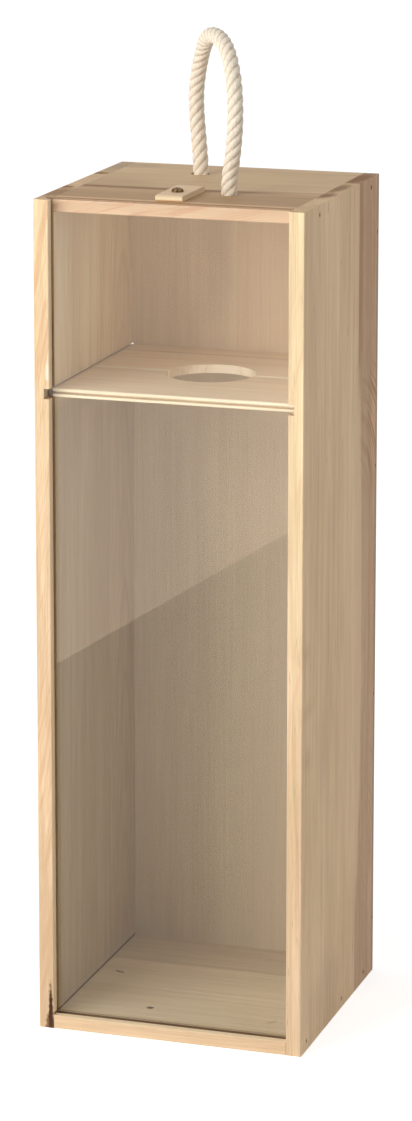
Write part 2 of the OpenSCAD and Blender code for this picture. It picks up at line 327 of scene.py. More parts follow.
# %% Inside the log
def grain_space(tree, grain, pith, lean):
    """Millimetres in the log: its pith is the Z axis here, whichever way the board lies."""
    where = add_node(tree, "TexCoord").outputs["Object"]
    if grain == "Z":
        turn = (lean[0], lean[1], 0)
        shift = (-1000 * pith[0], -1000 * pith[1], 0)
    else:
        turn = (lean[0], math.radians(-90) + lean[1], 0)
        shift = (1000 * pith[1], -1000 * pith[0], 0)
    inputs = {"Vector": where, "Location": shift, "Rotation": turn, "Scale": (1000, 1000, 1000)}
    return add_node(tree, "Mapping", inputs).outputs[0]


SLOW_BENDS = (0.014, 0.28, 1.0)
FINE_BENDS = (0.09, 0.12, 0.16)


def bent(tree, log, seed, wobble):
    """The log's points, pushed sideways by slow noise along the grain and finer noise on top."""
    for scale, along, share in (SLOW_BENDS, FINE_BENDS):
        stretched = scaled(tree, log, (1, 1, along))
        push = noise(tree, stretched, scale, seed + share, part="Color")
        centred = add_node(tree, "VectorMath", {0: push, 1: (0.5, 0.5, 0.5)}, operation="SUBTRACT")
        reach = 2 * wobble * share
        offset = scaled(tree, centred.outputs[0], (reach, reach, 0))
        log = add_node(tree, "VectorMath", {0: log, 1: offset}, operation="ADD").outputs[0]
    return log


print("a slow bend is about", round(1 / SLOW_BENDS[0]), "mm across the grain")

# %% [markdown]
# ## Spring wood and summer wood
#
# In each ring the pale spring wood darkens slowly towards the thin band of summer wood and then
# starts again: a colour ramp over the share of the ring that is grown. A random number for each
# ring makes some years strong and others faint.

# %% The log's rings
RING_STOPS = [(0.0, 0.0), (0.4, 0.1), (0.72, 0.42), (0.9, 1.0), (0.96, 0.8), (1.0, 0.0)]


def summer_wood(tree, log, ring, seed):
    """0 in pale spring wood and up to 1 in the dark band that ends each ring."""
    flat = scaled(tree, log, (1, 1, 0))
    radius = add_node(tree, "VectorMath", {0: flat}, operation="LENGTH").outputs["Value"]
    count = maths(tree, "DIVIDE", radius, ring)
    year = maths(tree, "FLOOR", count)
    chance = add_node(tree, "TexWhiteNoise", {"W": maths(tree, "ADD", year, seed)},
                      noise_dimensions="1D").outputs["Value"]
    strength = maths(tree, "MULTIPLY_ADD", chance, 0.75, 0.25)
    ramp = add_node(tree, "ValToRGB", {"Fac": maths(tree, "FRACT", count)})
    stops = ramp.color_ramp.elements
    for position, level in RING_STOPS[1:-1]:
        stops.new(position)
    for stop, (position, level) in zip(stops, RING_STOPS):
        stop.position = position
        stop.color = (level, level, level, 1)
    return maths(tree, "MULTIPLY", ramp.outputs["Color"], strength)


def end_grain(tree, grain):
    """1 on the faces that cut across the fibres, 0 along them."""
    normal = add_node(tree, "TexCoord").outputs["Normal"]
    axis = add_node(tree, "SeparateXYZ", {"Vector": normal}).outputs[grain]
    return fade(tree, maths(tree, "ABSOLUTE", axis), 0.5, 0.9)


print("summer wood is darkest at", round(100 * RING_STOPS[3][0]), "percent of a ring")

# %% [markdown]
# ## One board's finish
#
# The rings alone look printed. Fibres, streaks and flecks, all stretched along the grain, and wide
# pale clouds take the colour up and down by a few percent. Where they darken it they also warm it,
# because wood takes up blue light first. Rings and fibres raise the grain by less than a tenth of a
# millimetre, too. Marks, such as knots and stains, come last and lie on top.

# %% The finish of one board
FIBRES_PER_MM = 1.6
STREAKS_PER_MM = 0.28
CLOUDS_PER_MM = 0.03
FLECKS_PER_MM = 1.1
RAISED_GRAIN = 0.00008
WARM_RED = 0.85
WARM_BLUE = 1.3
PINE_IOR = 1.45


def pine(name, grain, pith, ring, spring, summer, seed, wobble=3.0, lean=(0, 0), contrast=1.0,
         figure=1.0, marks=()):
    """Solid pine. The pith is in metres, `ring` (its width) and `wobble` are in millimetres;
    `figure` scales the fibres and streaks, `contrast` the rings."""
    material, tree, shader = new_material(name)
    straight = grain_space(tree, grain, pith, lean)
    log = bent(tree, straight, seed, wobble)
    rings = summer_wood(tree, log, ring, seed)
    fibres = noise(tree, scaled(tree, log, (1, 1, 0.02)), FIBRES_PER_MM, seed + 2, 4.0, 0.6)
    streaks = noise(tree, scaled(tree, log, (1, 1, 0.03)), STREAKS_PER_MM, seed + 3, 3.0)
    clouds = noise(tree, scaled(tree, straight, (1, 1, 0.25)), CLOUDS_PER_MM, seed + 4)
    flecks = noise(tree, scaled(tree, log, (1, 1, 0.08)), FLECKS_PER_MM, seed + 5, 1.0)

    dark = maths(tree, "MULTIPLY", rings, fade(tree, streaks, 0.3, 0.7, 0.45 * contrast, contrast))
    colour = blend_colours(tree, dark, spring, summer)
    tone = maths(tree, "MULTIPLY", fade(tree, fibres, 0.25, 0.75, 0.90, 1.08),
                 fade(tree, streaks, 0.3, 0.7, 0.93, 1.05))
    tone = maths(tree, "MULTIPLY", tone, fade(tree, clouds, 0.35, 0.65, 0.95, 1.03))
    tone = maths(tree, "MULTIPLY", tone, fade(tree, flecks, 0.66, 0.78, 1.0, 0.8))
    tone = maths(tree, "MULTIPLY_ADD", tone, figure, 1 - figure)
    ends = end_grain(tree, grain)
    tone = maths(tree, "MULTIPLY", tone, fade(tree, ends, 0, 1, 1.0, 0.8))
    red = maths(tree, "POWER", tone, WARM_RED)
    blue = maths(tree, "POWER", tone, WARM_BLUE)
    shade = add_node(tree, "CombineColor", {0: red, 1: tone, 2: blue}).outputs[0]
    colour = blend_colours(tree, 1.0, colour, shade, "MULTIPLY")
    for mark in marks:
        colour = mark(tree, colour)
    tree.links.new(colour, shader.inputs["Base Color"])

    rough = fade(tree, fibres, 0.2, 0.8, 0.72, 0.58)
    tree.links.new(rough, shader.inputs["Roughness"])
    height = maths(tree, "MULTIPLY_ADD", rings, 0.5, maths(tree, "MULTIPLY", fibres, 0.9))
    bump = add_node(tree, "Bump", {"Height": height, "Distance": RAISED_GRAIN, "Strength": 0.6})
    tree.links.new(bump.outputs[0], shader.inputs["Normal"])
    shader.inputs["IOR"].default_value = PINE_IOR
    return material


print("fibres are", round(1 / FIBRES_PER_MM, 1), "mm wide, streaks", round(1 / STREAKS_PER_MM, 1))

# %% [markdown]
# ## The box's colours and places
#
# The woods come first, from the palest to the darkest, then the stains, down to resin, which is
# nearly black. A few places on the box are named too, because many marks lie on them: the sides'
# faces, the front edge, the heights of the floor and of the shelf.

# %% Colours and places
BUTTON_EDGE = paint(255, 234, 194)
PALE = paint(250, 234, 207)
SHELF_PINE = paint(247, 227, 197)
CREAM = paint(255, 226, 182)
BACK_PINE = paint(246, 216, 178)
BUTTON_PINE = paint(244, 212, 176)
HONEY = paint(243, 209, 168)
BUFF = paint(230, 198, 160)
HONEY_DARK = paint(226, 191, 150)
WHEAT = paint(219, 187, 146)
# The next two colours are pine as painted in shade, for the inner walls.
DEEP_SHADE = paint(205, 184, 152)
SHADED = paint(188, 170, 140)
TAN = paint(190, 154, 113)
BUFF_DARK = paint(192, 148, 110)
TAN_DARK = paint(160, 122, 86)

ROSY = paint(214, 158, 120)
UMBER = paint(130, 82, 6)
EARTH = paint(108, 68, 26)
BURNT = paint(112, 66, 12)
BARK = paint(88, 54, 18)
RESIN = paint(72, 42, 10)

FRONT_Y = -0.0675
SHELF_Z = 0.33
FLOOR_Z = 0.007
SIDE_X = 0.070
WALL_X = 0.062
UP = ("Z", 1)
print("room between the walls, mm:", round(2000 * WALL_X, 1))

# %% [markdown]
# ## Marks: one face at a time
#
# Light, dust and planing have treated the faces of a board differently. Every helper below gives
# back a mark: a function that takes the colour so far and lays its own over it. `toned` multiplies
# one face's wood by the ratio of a new colour to the old one, so the grain stays.

# %% Faces and their tone
FACING_FROM = 0.6
FACING_FULLY = 0.9


def facing(tree, axis, sign):
    """1 on the faces that look along an axis, in the direction that sign gives."""
    normal = add_node(tree, "TexCoord").outputs["Normal"]
    part = add_node(tree, "SeparateXYZ", {"Vector": normal}).outputs[axis]
    return fade(tree, maths(tree, "MULTIPLY", part, sign), FACING_FROM, FACING_FULLY)


def toned(axis, sign, old, new, start=-1.0, end=-0.9):
    """Turns wood of one colour into another on one face, above a height that fades in."""
    gain = [n / o for n, o in zip(new, old)]

    def mark(tree, under):
        point = add_node(tree, "TexCoord").outputs["Object"]
        height = add_node(tree, "SeparateXYZ", {"Vector": point}).outputs["Z"]
        share = maths(tree, "MULTIPLY", facing(tree, axis, sign), fade(tree, height, start, end))
        return blend_colours(tree, share, under, gain, "MULTIPLY")
    return mark


limits = [round(math.degrees(math.acos(part))) for part in (FACING_FULLY, FACING_FROM)]
print("a face counts fully up to", limits[0], "degrees off, and not at all from", limits[1])

# %% [markdown]
# ## Marks: stains
#
# Knots, resin, old water and thumbed corners are all patches with broken edges. They could be
# painted on a picture, but a picture must be unwrapped onto every board. So a patch is the distance
# from its middle, squeezed by three half sizes and torn by noise. Nails leave the smallest ones.

# %% Stains
def stain(where, size, colour, strength=1.0, face=None, turn=(0, 0, 0), ragged=0.35, scale=300,
          soft=0.55):
    """A patch with broken edges: where and half sizes in metres, on all faces or on one."""
    def mark(tree, under):
        point = add_node(tree, "TexCoord").outputs["Object"]
        inputs = {"Vector": point, "Location": where, "Rotation": turn, "Scale": size}
        local = add_node(tree, "Mapping", inputs, vector_type="TEXTURE").outputs[0]
        far = add_node(tree, "VectorMath", {0: local}, operation="LENGTH").outputs["Value"]
        torn = maths(tree, "MULTIPLY_ADD", noise(tree, point, scale, 1.0), 2 * ragged, -ragged)
        share = fade(tree, maths(tree, "ADD", far, torn), 1.0, soft, 0.0, strength)
        if face:
            share = maths(tree, "MULTIPLY", share, facing(tree, *face))
        return blend_colours(tree, share, under, colour)
    return mark


HALO = (0.002, 0.0017, 0.0017)


def halos(x, *places):
    """The dark ring that each nail's head leaves in the wood, at (y, z) on a side's outer face."""
    side = ("X", 1 if x > 0 else -1)
    return [stain((x, y, z), HALO, BARK, 0.85, side, ragged=0.3, soft=0.3) for y, z in places]


print("a nail's halo, mm across:", round(2000 * HALO[1], 1))

# %% [markdown]
# ## Marks: lines and growth
#
# A joint fills with dust and draws a line. Where the saw met the log aslant, the rings cross an
# edge as fine slanting lines, and round a knot they bend into arcs.

# %% Lines along a joint
def line(axis, at, half, colour, strength=1.0, soft=0.4, wander=0.0, bend=0.0, right=1.0):
    """A soft line. Right of the middle it drifts by `bend` and fades to the share `right`."""
    def mark(tree, under):
        point = add_node(tree, "TexCoord").outputs["Object"]
        parts = add_node(tree, "SeparateXYZ", {"Vector": point}).outputs
        place = parts[axis]
        if wander:
            sway = noise(tree, scaled(tree, point, (1, 0.2, 1)), 30, at, 2.0)
            sway = maths(tree, "MULTIPLY_ADD", sway, 2 * wander, -wander)
            place = maths(tree, "ADD", place, sway)
        if bend:
            along = maths(tree, "MAXIMUM", parts["X"], 0.0)
            place = maths(tree, "SUBTRACT", place, maths(tree, "MULTIPLY", along, bend))
        off = maths(tree, "ABSOLUTE", maths(tree, "SUBTRACT", place, at))
        share = fade(tree, off, half, half * soft, 0.0, strength)
        if right < 1:
            kept = fade(tree, parts["X"], 0.0, 0.06, 1.0, right)
            share = maths(tree, "MULTIPLY", share, kept)
        return blend_colours(tree, share, under, colour)
    return mark


print("marks so far: toned, stain, halos, line")

# %% Slanting lines and arcs
def slanting(angle, width, stretch, colour, strength, seed, low=0.5, high=0.66):
    """Fine lines on the front face, `angle` degrees to the right of upright, long and thin."""
    def mark(tree, under):
        point = add_node(tree, "TexCoord").outputs["Object"]
        inputs = {"Vector": point, "Rotation": (0, math.radians(-angle), 0)}
        upright = add_node(tree, "Mapping", inputs).outputs[0]
        drawn = scaled(tree, upright, (1 / width, 0, stretch / width))
        bands = fade(tree, noise(tree, drawn, 0.5, seed, 2.0, 0.6), low, high)
        on_front = maths(tree, "MULTIPLY", bands, facing(tree, "Y", -1))
        share = maths(tree, "MULTIPLY", on_front, strength)
        return blend_colours(tree, share, under, colour)
    return mark


def arcs(centre, width, colour, strength, seed, where, size):
    """Growth lines that bend round a point of a side face, inside a soft patch."""
    def mark(tree, under):
        point = add_node(tree, "TexCoord").outputs["Object"]
        inputs = {0: point, 1: (0, *centre)}
        local = add_node(tree, "VectorMath", inputs, operation="SUBTRACT").outputs[0]
        radius = add_node(tree, "VectorMath", {0: scaled(tree, local, (0, 1, 1))},
                          operation="LENGTH").outputs["Value"]
        drawn = add_node(tree, "CombineXYZ", {0: maths(tree, "DIVIDE", radius, width)}).outputs[0]
        bands = fade(tree, noise(tree, drawn, 0.5, seed, 1.0), 0.45, 0.6)
        inputs = {"Vector": point, "Location": where, "Scale": size}
        near = add_node(tree, "Mapping", inputs, vector_type="TEXTURE").outputs[0]
        far = add_node(tree, "VectorMath", {0: near}, operation="LENGTH").outputs["Value"]
        share = maths(tree, "MULTIPLY", bands, fade(tree, far, 1.0, 0.4, 0.0, strength))
        return blend_colours(tree, share, under, colour)
    return mark


print("marks in all: toned, stain, halos, line, slanting, arcs")

# %% [markdown]
# ## Each board's own wood
#
# The box is glued up from short boards, and no two come from one tree. Each board gets its own
# pith, ring width, colours and seed: a pith far to the side gives fine even lines, and one just
# behind the face gives the pointed arches of a board cut near the log's middle. The boards are
# listed first and dressed all together at the end.

# %% Start the list of boards
def above_shelf(axis, sign, old, new):
    """From the shelf up a wall is lighter: the tall bay under it lies in shade."""
    return toned(axis, sign, old, new, SHELF_Z - 0.01, SHELF_Z + 0.01)


BOARDS = {}
print("walls change colour at, mm:", round(1000 * SHELF_Z))

# %% [markdown]
# ## The left side
#
# The sawn front edge is pale, and rings cross it aslant; it is painted lighter towards the top and
# darker at its foot, as painted light and shade. Inside, the wall is painted in shade under the
# shelf. The strip in front of the groove for the sheet is painted light, and painted shadow lines
# run along the groove and along the corner with the floor. The end grain on top has drunk old water
# and is nearly brown, and the front corner at the foot has been knocked.

# %% Left side
# Painted shade: a dark line along the corner where the wall meets the floor.
floor_corner_shade = stain((-WALL_X, 0.0, 0.0078), (0.002, 0.2, 0.0009), BARK, 0.85, ("X", 1), ragged=0.0)
BOARDS["left_side_front_board"] = dict(
    grain="Z", pith=(-0.106, 0.16), ring=2.4, spring=HONEY, summer=HONEY_DARK, seed=3,
    wobble=2.0, lean=(0.02, 0), contrast=0.7, figure=1.3,
    marks=[
        # Painted light: the front edge is made lighter towards the top.
        toned("Y", -1, HONEY, CREAM, 0.25, 0.42),
        toned("X", 1, HONEY, SHADED),
        above_shelf("X", 1, SHADED, PALE),
        slanting(11, 0.0012, 0.05, paint(224, 180, 134), 0.75, 7.0, low=0.5, high=0.64),
        slanting(13, 0.0006, 0.03, paint(220, 178, 138), 0.4, 8.0, low=0.45, high=0.7),
        stain((-0.0668, FRONT_Y, 0.400), (0.0008, 0.002, 0.060), paint(238, 196, 142), 0.3,
              soft=0.2),
        # Painted shade: the front edge is made darker low down, at its foot.
        stain((-0.066, FRONT_Y, 0.020), (0.012, 0.002, 0.110), paint(220, 184, 146), 0.5,
              soft=0.0),
        # Painted light: the narrow strip of the inner face in front of the groove is made lighter.
        stain((-0.062, -0.0640, 0.215), (0.003, 0.0048, 0.600), paint(255, 234, 200), 0.9,
              ("X", 1), ragged=0.0, soft=0.8),
        # Painted shadow: a dark line along the groove for the sheet.
        stain((-0.0640, -0.0594, 0.215), (0.0032, 0.0012, 0.600), BURNT, 0.68, ragged=0.0,
              soft=0.7),
        stain((-0.066, -0.0425, TOP_Z), (0.010, 0.024, 0.004), UMBER, 0.75, UP, ragged=0.4,
              soft=0.2),
        stain((-0.069, -0.0235, TOP_Z), (0.005, 0.005, 0.004), UMBER, 0.9, UP),
        stain((-0.0630, FRONT_Y, 0.343), (0.0010, 0.002, 0.007), paint(252, 238, 212), 0.9),
        stain((-0.0640, FRONT_Y, -0.003), (0.0036, 0.003, 0.014), paint(124, 84, 40), 0.9,
              ragged=0.4, scale=500),
        stain((-0.0637, FRONT_Y, 0.002), (0.0015, 0.003, 0.026), RESIN, 1.0, ragged=0.35,
              scale=500),
        floor_corner_shade,
        *halos(-SIDE_X, (-0.0575, 0.005), (0.0065, 0.005), (-0.0415, 0.425)),
    ])
BOARDS["left_side_rear_board"] = dict(
    grain="Z", pith=(-0.084, 0.046), ring=2.2, spring=BUFF, summer=BUFF_DARK, seed=11,
    wobble=2.0, lean=(0, 0.05), contrast=0.6,
    marks=[
        toned("X", 1, BUFF, SHADED),
        above_shelf("X", 1, SHADED, PALE),
        stain((-0.068, 0.0220, TOP_Z), (0.007, 0.010, 0.004), UMBER, 0.95, UP, soft=0.4),
        stain((-0.066, 0.052, TOP_Z), (0.012, 0.02, 0.004), paint(170, 148, 124), 0.6, UP,
              soft=0.2),
        floor_corner_shade,
        *halos(-SIDE_X, (0.0485, 0.005), (0.0525, 0.425)),
    ])
print("marks on each board:", [len(wood["marks"]) for wood in BOARDS.values()])

# %% [markdown]
# ## The right side
#
# Its front board is quiet outside: a few wide, faint patches. The rear board was sawn near a knot,
# so its colour changes from stripe to stripe, and growth lines bend round places near its edge.

# %% Right side
BOARDS["right_side_front_board"] = dict(
    grain="Z", pith=(0.12, -0.30), ring=2.0, spring=HONEY, summer=paint(219, 186, 147), seed=23,
    wobble=1.6, lean=(0.004, 0), contrast=0.8, figure=1.35,
    marks=[
        # Painted light: the front edge is made lighter towards the top.
        toned("Y", -1, HONEY, paint(255, 228, 182), 0.10, 0.36),
        toned("X", -1, HONEY, PALE),
        slanting(12, 0.0018, 0.05, paint(238, 190, 150), 0.45, 3.0, low=0.52, high=0.7),
        stain((0.0673, FRONT_Y, 0.088), (0.0016, 0.003, 0.055), ROSY, 0.3, soft=0.1),
        stain((SIDE_X, -0.061, 0.208), (0.01, 0.013, 0.009), paint(206, 168, 128), 0.35,
              soft=0.0),
        stain((SIDE_X, -0.056, 0.178), (0.01, 0.016, 0.008), paint(206, 168, 128), 0.3,
              soft=0.0),
        stain((SIDE_X, -0.058, 0.152), (0.01, 0.012, 0.010), paint(204, 166, 126), 0.4,
              soft=0.0),
        stain((SIDE_X, -0.032, 0.150), (0.01, 0.009, 0.040), paint(210, 174, 136), 0.35,
              soft=0.0),
        stain((SIDE_X, 0.010, 0.160), (0.02, 0.014, 0.120), paint(230, 194, 154), 0.5,
              ragged=0.2, scale=60, soft=0.0),
        stain((0.0645, -0.0125, TOP_Z), (0.0060, 0.0110, 0.003), UMBER, 0.9, UP,
              (0, 0, -0.3), 0.8, 800, 0.4),
        stain((0.0645, 0.0120, TOP_Z), (0.0060, 0.0190, 0.003), UMBER, 0.8, UP,
              (0, 0, -0.1), 0.8, 800, 0.3),
        stain((0.0635, 0.005, TOP_Z), (0.0040, 0.0400, 0.003), EARTH, 0.3, UP, ragged=0.5,
              scale=500, soft=0.2),
        stain((SIDE_X, -0.0265, 0.4265), (0.002, 0.0010, 0.0045), EARTH, 0.4, ("X", 1),
              ragged=0.3, soft=0.2),
        *halos(SIDE_X, (-0.0575, 0.005), (0.0065, 0.005), (-0.0415, 0.425)),
        stain((SIDE_X, -0.030, 0.020), (0.004, 0.050, 0.030), paint(196, 168, 136), 0.35,
              ragged=0.6, scale=40, soft=0.1),
    ])
BOARDS["right_side_rear_board"] = dict(
    grain="Z", pith=(0.030, 0.10), ring=2.6, spring=paint(214, 176, 140),
    summer=paint(184, 144, 108), seed=31, wobble=5, lean=(0.0, 0.05), contrast=0.6, figure=1.4,
    marks=[
        # Painted shade: the inner face is made darker.
        toned("X", -1, BUFF, DEEP_SHADE),
        stain((SIDE_X, 0.0300, 0.190), (0.02, 0.0110, 0.160), paint(240, 206, 166), 0.85,
              ragged=0.12, scale=40, soft=0.75),
        stain((SIDE_X, 0.0330, 0.400), (0.02, 0.0080, 0.105), paint(168, 128, 78), 0.75,
              ragged=0.3, scale=60, soft=0.3),
        stain((SIDE_X, 0.0480, 0.400), (0.02, 0.0110, 0.080), paint(186, 144, 110), 0.7,
              ragged=0.3, scale=60, soft=0.2),
        stain((SIDE_X, 0.0610, 0.300), (0.02, 0.0100, 0.042), paint(238, 192, 146), 0.8,
              ragged=0.2, scale=60, soft=0.1),
        stain((SIDE_X, 0.0585, 0.395), (0.02, 0.0032, 0.080), paint(198, 138, 86), 0.7,
              ragged=0.6, scale=120, soft=0.1),
        stain((SIDE_X, 0.0563, 0.200), (0.02, 0.0026, 0.090), paint(218, 162, 112), 0.6,
              ragged=0.4, scale=90, soft=0.2),
        line("Y", 0.0540, 0.0012, paint(180, 138, 102), 0.35, wander=0.0016),
        arcs((0.010, 0.263), 0.0016, paint(164, 112, 66), 0.75, 2.0,
             (SIDE_X, 0.062, 0.298), (0.01, 0.019, 0.046)),
        arcs((0.012, 0.250), 0.0030, paint(170, 124, 82), 0.35, 6.0,
             (SIDE_X, 0.050, 0.300), (0.01, 0.020, 0.050)),
        arcs((0.020, 0.070), 0.0022, paint(180, 140, 104), 0.3, 4.0,
             (SIDE_X, 0.063, 0.100), (0.01, 0.012, 0.045)),
        line("Y", 0.0666, 0.0038, paint(160, 140, 116), 0.8, soft=0.4),
        stain((0.0650, 0.0470, TOP_Z), (0.0070, 0.0240, 0.003), UMBER, 1.0, UP,
              (0, 0, -0.05), 0.8, 800, 0.4),
        *halos(SIDE_X, (0.0485, 0.005), (0.0525, 0.425)),
    ])
print("marks on each board:", [len(wood["marks"]) for wood in BOARDS.values()])

# %% [markdown]
# ## The top
#
# Its two boards meet in a V cut, and hands and dust have darkened a band along it. The band is one
# mark on both boards, so it runs on from one to the other. It drifts and fades to the right.

# %% Top
top_joint = line("Y", -0.0155, 0.0064, BURNT, 0.68, 0.0, wander=0.0006, bend=0.105, right=0.5)
BOARDS["top_front_board"] = dict(
    grain="X", pith=(0.10, 0.395), ring=3.4, spring=TAN, summer=TAN_DARK, seed=43,
    lean=(0.0, 0.02), wobble=4, contrast=0.7,
    marks=[
        line("Y", -0.0245, 0.0085, paint(206, 170, 130), 0.7, 0.0, wander=0.001, bend=0.15,
             right=0.6),
        top_joint,
        line("Y", -0.0545, 0.0024, paint(234, 196, 150), 0.8, wander=0.0005),
        line("Y", -0.0585, 0.0014, UMBER, 0.6),
        toned("Y", -1, TAN, paint(233, 195, 156)),
        slanting(75, 0.0010, 0.03, paint(204, 148, 106), 0.7, 5.0, low=0.5, high=0.6),
        stain((0.050, FRONT_Y, 0.425), (0.06, 0.02, 0.03), paint(222, 182, 144), 0.6,
              ("Y", -1), soft=0.0),
    ])
BOARDS["top_rear_board"] = dict(
    grain="X", pith=(0.25, 0.40), ring=2.8, spring=WHEAT,
    summer=paint(200, 164, 124), seed=57, contrast=0.7, wobble=2,
    marks=[
        top_joint,
        stain((-0.050, 0.000, TOP_Z), (0.045, 0.026, 0.006), paint(192, 158, 122), 0.6, UP,
              ragged=0.5, scale=50, soft=0.1),
        stain((-0.055, 0.058, TOP_Z), (0.02, 0.012, 0.006), paint(172, 148, 118), 0.5, UP,
              ragged=0.6, scale=90, soft=0.2),
        stain((-0.0216, 0.038, TOP_Z), (0.0012, 0.0016, 0.003), RESIN, 1.0, ragged=0.1),
        toned("Z", -1, WHEAT, PALE),
    ])
print("boards so far:", len(BOARDS))

# %% [markdown]
# ## The bottom and the back
#
# The bottom has small dark specks of resin. Its top faces are painted darker, as painted shade; the
# lip in front of the groove is painted light, and the groove is painted in shade. The back stands
# deep in the box and is calm, so its figure is turned down; its inner face is painted in shade,
# less so from the shelf up.

# %% Bottom and back
BOARDS["bottom_front_board"] = dict(
    grain="X", pith=(-0.25, 0.06), ring=2.4, spring=HONEY, summer=HONEY_DARK, seed=61,
    wobble=3, contrast=0.8,
    marks=[
        # Painted shade: the top face is made darker.
        toned("Z", 1, HONEY, paint(225, 206, 174)),
        slanting(84, 0.0012, 0.02, ROSY, 0.25, 9.0),
        stain((-0.0185, -0.041, FLOOR_Z), (0.0026, 0.0018, 0.002), RESIN, 0.95, ragged=0.2),
        stain((-0.0510, 0.0052, FLOOR_Z), (0.0040, 0.0014, 0.002), EARTH, 0.7,
              turn=(0, 0, -0.4)),
        stain((0.0470, -0.0420, FLOOR_Z), (0.0045, 0.0010, 0.002), EARTH, 0.4,
              turn=(0, 0, 0.8)),
        # Painted light: the top of the lip in front of the groove is made lighter.
        stain((0.0, -0.0657, FLOOR_Z), (0.3, 0.0024, 0.0012), paint(255, 232, 196), 0.95, UP,
              ragged=0.0, soft=0.8),
        # Painted shadow: the groove is made dark.
        stain((0.0, -0.0612, 0.0060), (0.3, 0.0026, 0.0024), BARK, 0.95, ragged=0.0,
              soft=0.7),
        line("Y", -0.0580, 0.0012, EARTH, 0.5),
    ])
BOARDS["bottom_rear_board"] = dict(
    grain="X", pith=(0.29, -0.07), ring=2.7, spring=BUFF, summer=BUFF_DARK, seed=71,
    # Painted shade: the top face is made darker.
    contrast=0.6, marks=[toned("Z", 1, BUFF, paint(214, 194, 164))])
BOARDS["back_left_board"] = dict(
    grain="Z", pith=(-0.26, 0.11), ring=3.0, spring=HONEY, summer=HONEY_DARK, seed=83,
    wobble=3, contrast=0.3, figure=0.6,
    marks=[
        # Painted shade: the inner face is made darker, less so from the shelf up.
        toned("Y", -1, HONEY, DEEP_SHADE),
        above_shelf("Y", -1, DEEP_SHADE, paint(236, 214, 184)),
        stain((-0.015, 0.0625, 0.40), (0.016, 0.003, 0.09), paint(200, 172, 142), 0.5,
              ragged=0.4, scale=60, soft=0.0),
    ])
BOARDS["back_right_board"] = dict(
    grain="Z", pith=(0.32, 0.14), ring=2.4, spring=BACK_PINE, summer=HONEY_DARK,
    seed=97, wobble=3, contrast=0.3, figure=0.5,
    marks=[
        # Painted shade: the inner face is made darker, less so from the shelf up.
        toned("Y", -1, BACK_PINE, DEEP_SHADE),
        above_shelf("Y", -1, DEEP_SHADE, paint(232, 206, 173)),
    ])
print("boards so far:", len(BOARDS))

# %% [markdown]
# ## The shelf and the turn-button
#
# The shelf's halves are the palest boards inside, with a painted highlight along the line where
# their faces meet. The button is planed on every side, so its edges are lighter than its top.

# %% Shelf and turn-button
BOARDS["shelf_front_half"] = dict(
    grain="X", pith=(0.30, 0.27), ring=2.5, spring=SHELF_PINE, summer=HONEY_DARK,
    seed=101, contrast=0.35, wobble=2,
    marks=[toned("Y", -1, SHELF_PINE, paint(255, 238, 202))])
BOARDS["shelf_rear_half"] = dict(
    grain="X", pith=(0.34, 0.27), ring=2.8, spring=paint(250, 230, 202), summer=HONEY_DARK,
    seed=113, contrast=0.5, wobble=2,
    marks=[
        # Painted highlight: a light line where the two halves meet.
        line("Y", 0.0008, 0.0016, paint(255, 246, 226), 0.9),
        line("Y", 0.047, 0.0012, EARTH, 0.3, wander=0.001),
    ])
BOARDS["turn_button"] = dict(
    grain="X", pith=(0.30, 0.46), ring=1.8, spring=BUTTON_PINE, summer=HONEY_DARK,
    seed=127, contrast=0.4, wobble=1,
    marks=[
        toned("Y", -1, BUTTON_PINE, BUTTON_EDGE),
        toned("Y", 1, BUTTON_PINE, BUTTON_EDGE),
        toned("X", 1, BUTTON_PINE, paint(255, 232, 200)),
    ])
print("boards planned:", len(BOARDS))

# %% Dress the boards
def dress(name, material):
    """Give a CAD node its material. Its mesh and its place stay as they are."""
    piece = bpy.data.objects[name]
    piece.data.materials.clear()
    piece.data.materials.append(material)


for board, wood in BOARDS.items():
    dress(board, pine(board + "_wood", **wood))
print("boards dressed:", len(BOARDS))

# %% [markdown]
# ## The clear sheet
#
# Acrylic bends light and mirrors a few percent of the room on each face. A glass shader alone
# would keep the lamps out of the box, because lamp rays don't bend. So lamp rays, and the soft
# light inside the box, pass a plain see-through shader, and the eye meets the true glass. The sawn
# edges are not clear: they are rough and tan along the top, and painted in shade where they sit in
# the grooves.

# %% Clear acrylic
ACRYLIC_IOR = 1.49
CLEAR_BODY = (0.99, 0.995, 0.99, 1)
CLEAR_SHADOW = (0.985, 0.99, 0.985, 1)
TOP_EDGE_TAN = paint(150, 114, 80)
# Painted shade: the sheet's edges are dark where they sit in the grooves.
GROOVE_SHADE = paint(96, 70, 38)
TOP_TO_GROOVE = (0.4252, 0.4240)


